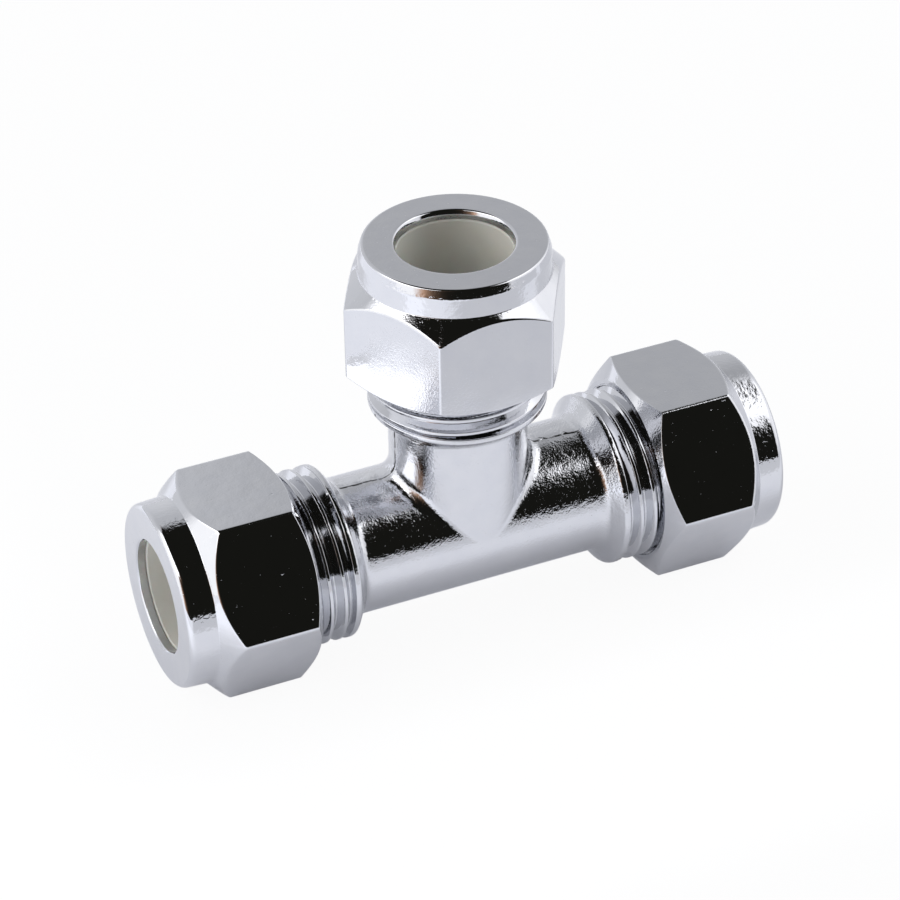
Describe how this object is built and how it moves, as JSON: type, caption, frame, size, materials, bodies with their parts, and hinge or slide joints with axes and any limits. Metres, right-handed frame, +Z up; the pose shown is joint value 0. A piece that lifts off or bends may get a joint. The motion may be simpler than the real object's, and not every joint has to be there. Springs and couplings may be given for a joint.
{
  "type": "compression tee",
  "caption": "Equal compression tee for 15 mm pipe: a cast body with threaded arms, a hexagon nut and a plastic ring on each arm.",
  "frame": {"origin": "the middle of the footprint, to 0.2 mm, on the surface that the lower flats of the two run nuts stand on, straight below the crossing of the run and branch axes", "axes": "+X along the run towards the right nut, +Z up along the branch, -Y towards the viewer of the picture; the run axis is 13.5 mm above the origin"},
  "size_m": [0.0864, 0.031, 0.0564],
  "materials": {
    "plated_casting": "bright chrome plate over a cast skin with a fine grain",
    "plated_nut": "bright chrome plate over a turned and forged nut",
    "white_plastic": "smooth moulded off-white plastic"
  },
  "bodies": {
    "tee": {"tee_body": "plated_casting"},
    "left_ring_carrier": {"left_olive": "white_plastic"},
    "left_nut": {"left_nut": "plated_nut"},
    "right_ring_carrier": {"right_olive": "white_plastic"},
    "right_nut": {"right_nut": "plated_nut"},
    "branch_ring_carrier": {"branch_olive": "white_plastic"},
    "branch_nut": {"branch_nut": "plated_nut"}
  },
  "joints": [
    {"name": "left_ring_slide", "type": "slide", "parent": "tee", "child": "left_ring_carrier", "axis": [-1, 0, 0], "range_m": [-0.001, 0.008]},
    {"name": "left_nut_turn", "type": "hinge", "parent": "left_ring_carrier", "child": "left_nut", "pos_m": [-0.0434, 0, 0.0135], "axis": [-1, 0, 0], "range_deg": [-180, 1440]},
    {"name": "right_ring_slide", "type": "slide", "parent": "tee", "child": "right_ring_carrier", "axis": [1, 0, 0], "range_m": [-0.0006, 0.008]},
    {"name": "right_nut_turn", "type": "hinge", "parent": "right_ring_carrier", "child": "right_nut", "pos_m": [0.043, 0, 0.0135], "axis": [1, 0, 0], "range_deg": [-108, 1440]},
    {"name": "branch_ring_slide", "type": "slide", "parent": "tee", "child": "branch_ring_carrier", "axis": [0, 0, 1], "range_m": [-0.0005, 0.008]},
    {"name": "branch_nut_turn", "type": "hinge", "parent": "branch_ring_carrier", "child": "branch_nut", "pos_m": [0, 0, 0.0564], "axis": [0, 0, 1], "range_deg": [-90, 1440]}
  ],
  "couplings": [
    {"joint": "left_ring_slide", "follows": "left_nut_turn", "m_per_rad": 0.0003183},
    {"joint": "right_ring_slide", "follows": "right_nut_turn", "m_per_rad": 0.0003183},
    {"joint": "branch_ring_slide", "follows": "branch_nut_turn", "m_per_rad": 0.0003183}
  ]
}
